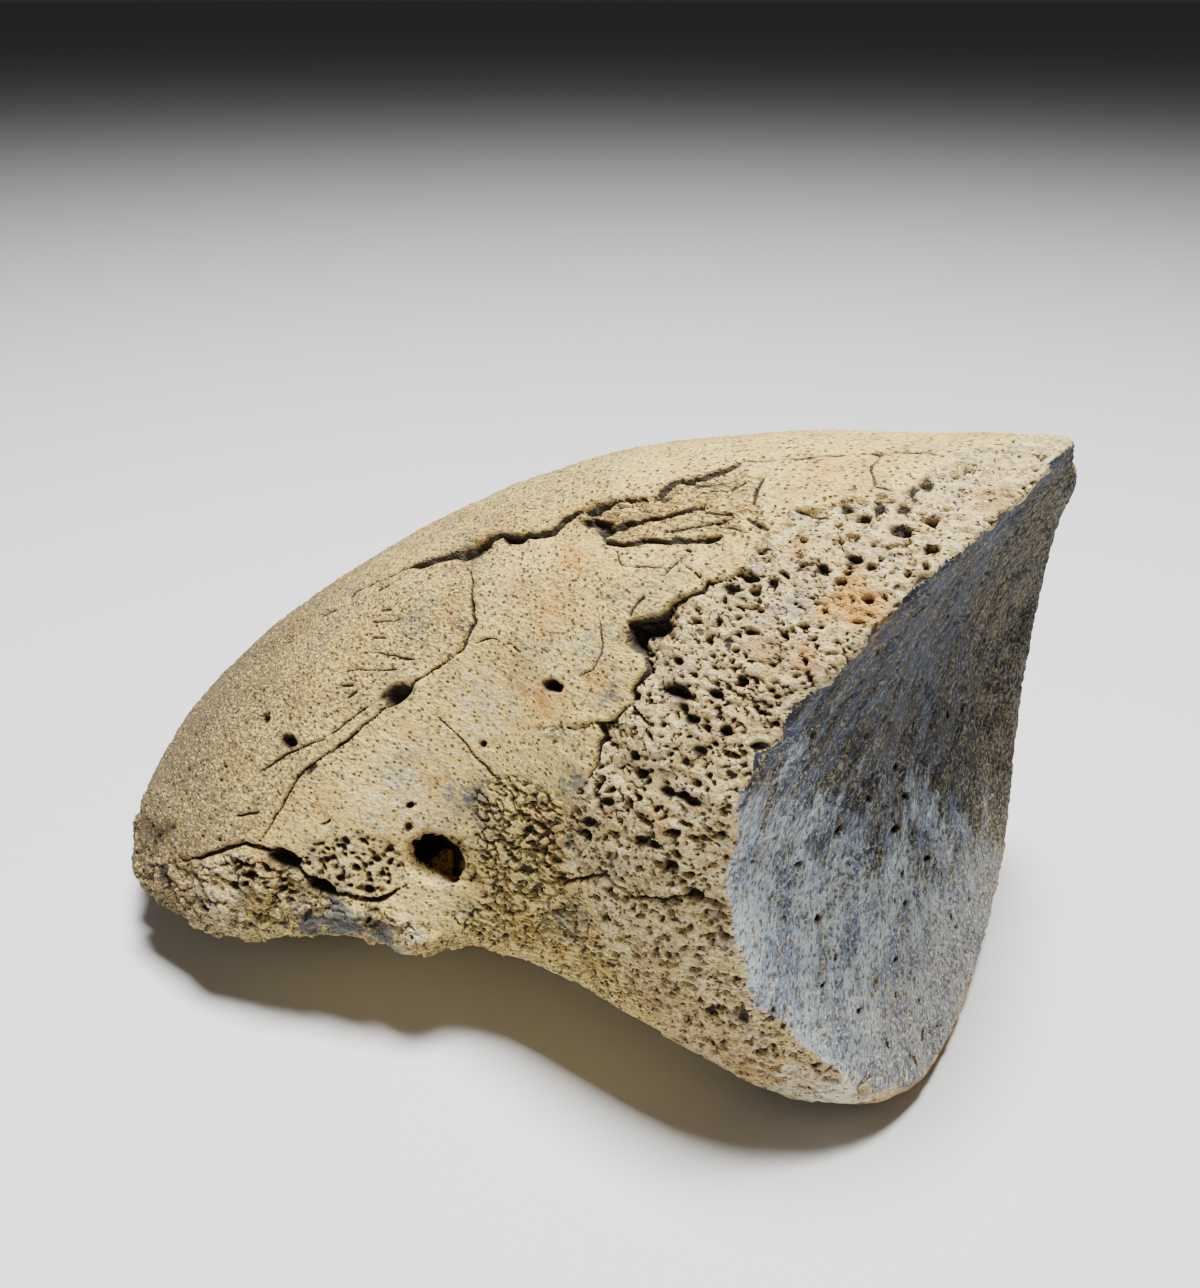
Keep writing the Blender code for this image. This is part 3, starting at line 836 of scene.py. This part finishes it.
# The hoof edge: the rough, lumpy border round the tip, which bore the horn of the hoof. A deep crack runs
# along its top on the left, with a patch of coarse spongy bone behind it, and its lower side is mottled.
HOOF_X = (-55, -40, -30, -24, -17, -12, -8, -4, 0, 4, 7, 12, 18)
HOOF_TOP = (8, 11, 13, 14.7, 17, 19.6, 20.4, 19, 17.2, 17, 15, 11, 3)
HOOF_CRACK = [
    (188, 860), (200, 858), (217, 852), (234, 846), (245, 844), (259, 847), (267, 849), (284, 858),
    (300, 869), (308, 880), (320, 887), (335, 895), (352, 897), (370, 901), (378, 901), (393, 893),
    (406, 886),
]
HOOF_HOLLOWS = [
    ((284, 859), (17, 9), 25, 2.2, 1.0), ((320, 887), (18, 8), 30, 2.2, 1.0),
    ((374, 926), (14, 7), 35, 0.5, 0.4), ((240, 860), (5, 4), 0, 0.6, 0.8),
    ((236, 884), (6, 4), 20, 0.7, 0.8), ((254, 872), (5, 4), 0, 0.6, 0.7),
    ((210, 905), (5, 4), 0, 0.6, 0.7), ((290, 900), (6, 4), 20, 0.6, 0.7),
    ((262, 897), (5, 3), 10, 0.5, 0.7), ((368, 891), (5, 5), 0, 0.8, 0.9),
    ((340, 880), (5, 4), 30, 0.7, 0.9), ((355, 868), (6, 4), 30, 0.7, 0.8),
    ((171, 872), (12, 5), 70, 0.8, 0.8),
]
HOOF_KNOBS = [
    ((163, 808), (20, 22), 0, 0.8), ((160, 876), (24, 18), 20, 0.9), ((215, 905), (34, 24), 20, 0.9),
    ((270, 888), (12, 12), 0, 0.8), ((255, 925), (26, 12), 10, 0.6), ((420, 940), (30, 12), 0, 0.7),
]
SPONGY_PATCHES = [
    [
        (288, 862), (300, 845), (330, 833), (362, 829), (392, 838), (410, 860), (406, 884), (380, 898),
        (340, 893),
    ],
    [(218, 862), (240, 851), (266, 852), (290, 874), (305, 892), (284, 906), (244, 894)],
]
FAR_HOOF_CRACK = [(180, 850), (215, 840), (260, 850), (300, 862), (350, 880), (395, 876)]

hoof_top = np.interp(points[:, 0] / MM, HOOF_X, HOOF_TOP)
below_hoof_top = hoof_top - points[:, 2] / MM
at = np.flatnonzero((below_hoof_top > -7) & (collar_line > -0.5))
below_hoof_top[at] += 0.5 * noise(points[at], 3, 51) + 0.25 * noise(points[at], 1, 52)
spread = wander(points[at], 1.8, 0.5, 53)
nearest, lot = cells(spread, (6.5, 6.5, 5), 56)
lumps = (1 - ramp(nearest, 0.1, 0.75)) * (0.4 + 0.6 * lot)
nearest, lot = cells(spread, (2.6, 2.6, 2.2), 55)
lumps += 0.45 * (1 - ramp(nearest, 0.1, 0.75)) * lot
wrinkles = worms(spread, (2.6, 1.1, 0.8), 0.2, 57)
holes = pits(spread, (1.7, 1.3, 1.2), (-0.1, 0.42), 58)
rough = ramp(below_hoof_top[at], -0.5, 1.2) * (1 - ramp(-out[at, 2], 0.75, 0.95))
relief = 1.2 * lumps - 0.3 * sunk(wrinkles) - 0.45 * sunk(holes) + 0.18 * noise(points[at], 0.9, 59)
height[at] += ramp(collar_line[at], -0.1, 0.6) * rough * (relief - 0.1)
raise_mark("dark", at, rough * core(np.minimum(holes * 1.6, wrinkles * 4)))
raise_mark("worn", at, rough * 0.4)
spongy = np.maximum(*(near_side.inside(patch, 9) for patch in SPONGY_PATCHES))[at]
open_bone = pits(spread, (0.95, 0.65, 0.75), (0.3, 0.62), 60)
height[at] -= spongy * (0.6 * sunk(open_bone) + 0.15)
raise_mark("dark", at, spongy * core(open_bone * 1.2))
for place, radii, turn, rise in HOOF_KNOBS:
    near_side.hollow(place, radii, turn, -rise, 0)
near_side.crack(HOOF_CRACK, 2.3, 0.9, 1.0)
far_side.crack(FAR_HOOF_CRACK, 2.6, 0.7)
for place, radii, turn, depth, dark in HOOF_HOLLOWS:
    near_side.hollow(place, radii, turn, depth, dark)
finishes["hoof_edge"] = compact_look("compact_bone_hoof_edge")


# The sole: the gently hollowed underside, of worn compact bone, with a rough patch near the tip and a few
# small canals. It is hidden in most views.
SOLE_CRACKS = [
    ([(-300, -60), (-180, -30), (-60, -70), (60, -40)], 3.0, 0.5),
    ([(-180, -30), (-150, 60), (-90, 120)], 2.4, 0.4),
]
SOLE_HOLLOWS = [
    ((120, -90), (10, 7), 20, 1.6, 1.0), ((100, 110), (8, 6), 0, 1.4, 1.0),
    ((-60, 150), (7, 6), 0, 1.0, 0.9), ((-220, 120), (12, 8), 40, 0.8, 0.8),
    ((30, 30), (5, 5), 0, 1.0, 0.9),
]

below = np.flatnonzero((out[:, 2] < -0.4) & (collar_line > -0.5))
spread = wander(points[below], 1.8, 0.5, 61)
sole_share = ramp(-out[below, 2], 0.45, 0.8)
sole_pits = pits(spread, (1.8, 1.4, 1.4), (0.08, 0.38), 64)
sole_grooves = worms(spread, (2.4, 1.2, 1.2), 0.2, 65)
height[below] -= sole_share * (0.35 * sunk(sole_pits) + 0.15 * sunk(sole_grooves))
raise_mark("dark", below, sole_share * core(sole_pits * 1.3))
for line, width, depth in SOLE_CRACKS:
    sole_side.crack(line, width, depth)
for place, radii, turn, depth, dark in SOLE_HOLLOWS:
    sole_side.hollow(place, radii, turn, depth, dark)
for end in ("heel", "tip"):
    finishes[f"sole_{end}"] = compact_look(f"compact_bone_sole_{end}")


# What the ground left on the bone: rust-orange round the back and the collar, dark grey in hollows and
# along the hoof edge, and chalky patches on the shell. The pale patches under the heel are painted light
# thrown up from the floor, and the small one low in the canal is its lit floor, painted.
NEAR_STAINS_AND_PAINTED_LIGHT = {
    "orange": [
        ((860, 607), 30, 0.9), ((830, 612), 18, 0.7), ((853, 585), 22, 0.6), ((802, 662), 20, 0.6),
        ((518, 586), 26, 0.4), ((545, 615), 30, 0.4), ((571, 560), 24, 0.6), ((541, 705), 24, 0.8),
        ((564, 700), 16, 0.7), ((700, 493), 40, 0.35), ((800, 545), 26, 0.45), ((300, 785), 12, 0.4),
        ((653, 815), 6, 0.8), ((520, 728), 14, 0.4),
    ],
    "blue": [
        ((472, 798), 26, 0.7), ((493, 825), 20, 0.6), ((340, 924), 42, 0.9), ((385, 936), 26, 0.75),
        ((660, 664), 18, 0.5), ((573, 786), 22, 0.6), ((566, 918), 34, 0.5), ((420, 612), 30, 0.3),
        ((470, 553), 16, 0.5), ((590, 650), 26, 0.35), ((520, 700), 22, 0.35), ((480, 695), 24, 0.3),
        ((312, 850), 16, 0.5), ((610, 690), 22, 0.5), ((730, 600), 20, 0.35), ((515, 855), 60, 0.3),
    ],
    # The first two pale patches are painted light thrown up from the floor onto the heel's underside, and
    # the one at (436, 880) is the lit floor of the canal, painted.
    "pale": [
        ((835, 1095), 46, 0.9), ((790, 1086), 28, 0.7), ((408, 928), 22, 0.5), ((436, 880), 18, 0.4),
        ((400, 790), 70, 0.35), ((480, 715), 50, 0.35), ((230, 888), 44, 0.4), ((345, 862), 34, 0.35),
        ((585, 640), 34, 0.3),
    ],
}
FAR_STAINS = {
    "orange": [((560, 640), 34, 0.6), ((760, 600), 30, 0.7), ((400, 700), 26, 0.5), ((640, 560), 24, 0.5)],
    "blue": [((340, 924), 34, 0.6), ((480, 800), 30, 0.6), ((300, 800), 30, 0.4), ((640, 700), 40, 0.5)],
    "pale": [((700, 1000), 40, 0.6)],
}
for view, patch_lists in ((near_side, NEAR_STAINS_AND_PAINTED_LIGHT), (far_side, FAR_STAINS)):
    for name, patches in patch_lists.items():
        for place, radius, amount in patches:
            view.stain_and_painted_light(name, place, radius, amount)
marks["pale"][face_line < 0] = 0


# The whole bone: the net takes its relief and is cut into its pieces, each closed behind towards a point
# inside the bone. They make one bone, with nothing showing between them.
FLOOR_LEVEL = 0.0
DEEPEST, HIGHEST = -3, 1.2
APEXES = {
    "joint_face": (20, 4, 30),
    "spongy_collar": (17, 3, 29),
    "left_flank_heel": (6, 2, 24),
    "left_flank_tip": (-14, 0, 18),
    "right_flank_heel": (5, 0, 25),
    "right_flank_tip": (-14, 2, 18),
    "hoof_edge": (-18, 0, 13),
    "sole_heel": (4, 0, 16),
    "sole_tip": (-18, 0, 11),
}
flank = points[:, 1] / MM - 0.1 * points[:, 0] / MM + noise(points, 5, 71) * 0.8 > 2
tip = points[:, 0] / MM + noise(points, 4, 72) < np.where(out[:, 2] < -0.72, -7, 0)
place_of = np.where(flank, 4, 2) + tip
place_of[below_hoof_top > 0] = 6
under = (out[:, 2] < -0.72) & (points[:, 2] < 14 * MM)
place_of[under] = (7 + tip)[under]
place_of[collar_line < 0] = 1
place_of[face_line < 0] = 0

moved = points + out * (np.clip(height, DEEPEST, HIGHEST) * MM)[:, None]
moved[:, 2] = np.maximum(moved[:, 2], FLOOR_LEVEL)
form.data.vertices.foreach_set("co", moved.ravel())
form.data.attributes.remove(form.data.attributes["setback"])
for name, values in marks.items():
    layer = form.data.attributes.new(name, "FLOAT", "POINT")
    layer.data.foreach_set("value", np.clip(values, 0, 1).astype(np.float32))
corners = np.empty(len(form.data.loops), np.int32)
form.data.loops.foreach_get("vertex_index", corners)
first_corners = np.empty(len(form.data.polygons), np.int32)
form.data.polygons.foreach_get("loop_start", first_corners)
for name in APEXES:
    form.data.materials.append(finishes[name])
form.data.polygons.foreach_set("material_index", place_of[corners[first_corners]].astype(np.int32))
form.data.update()
choose(form)
bpy.ops.object.mode_set(mode="EDIT")
bpy.ops.mesh.select_all(action="SELECT")
bpy.ops.mesh.separate(type="MATERIAL")
bpy.ops.object.mode_set(mode="OBJECT")
for piece in list(bpy.context.selected_objects):
    name = next(name for name, finish in finishes.items() if finish == piece.data.materials[0])
    piece.name = piece.data.name = name
    net = bmesh.new()
    net.from_mesh(piece.data)
    apex = net.verts.new(Vector(APEXES[name]) * MM)
    for edge in [edge for edge in net.edges if edge.is_boundary]:
        loop = edge.link_loops[0]
        net.faces.new((loop.link_loop_next.vert, loop.vert, apex))
        edge.smooth = False
    net.to_mesh(piece.data)
    net.free()
    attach(piece, "root")
    if name == "joint_face":
        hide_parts(NODE)


# The room: a wide pale floor, a soft lamp high above the bone, a weak one in front of its left side, and
# a little even light from all round.
FLOOR_HALF = 40
FLOOR_COLOUR = (0.70, 0.70, 0.70, 1)
FLOOR_ROUGHNESS = 0.8
LAMPS_AIM = Vector((0, 0, 0.03))
LAMPS = {
    "key_lamp": (Vector((0.05, 0.0, 0.55)), 0.15, 9.8),
    "front_lamp": (Vector((-0.05, -1.10, 0.60)), 0.6, 1.5),
}
SKY_COLOUR = (1, 1, 1, 1)
SKY_STRENGTH = 0.03

bpy.ops.mesh.primitive_plane_add(size=2 * FLOOR_HALF, location=(0, 0, 0))
floor = bpy.context.object
floor.name = "floor"
floor_finish = bpy.data.materials.new("pale_floor")
floor_finish.use_nodes = True
floor_shader = floor_finish.node_tree.nodes["Principled BSDF"]
floor_shader.inputs["Base Color"].default_value = FLOOR_COLOUR
floor_shader.inputs["Roughness"].default_value = FLOOR_ROUGHNESS
floor.data.materials.append(floor_finish)

for name, (place, size, watts) in LAMPS.items():
    lamp = bpy.data.objects.new(name, bpy.data.lights.new(name, "AREA"))
    bpy.context.scene.collection.objects.link(lamp)
    lamp.location = place
    lamp.rotation_euler = (LAMPS_AIM - place).to_track_quat("-Z", "Y").to_euler()
    lamp.data.size = size
    lamp.data.energy = watts

world = bpy.data.worlds.new("even_light")
bpy.context.scene.world = world
world.use_nodes = True
world.node_tree.nodes["Background"].inputs["Color"].default_value = SKY_COLOUR
world.node_tree.nodes["Background"].inputs["Strength"].default_value = SKY_STRENGTH
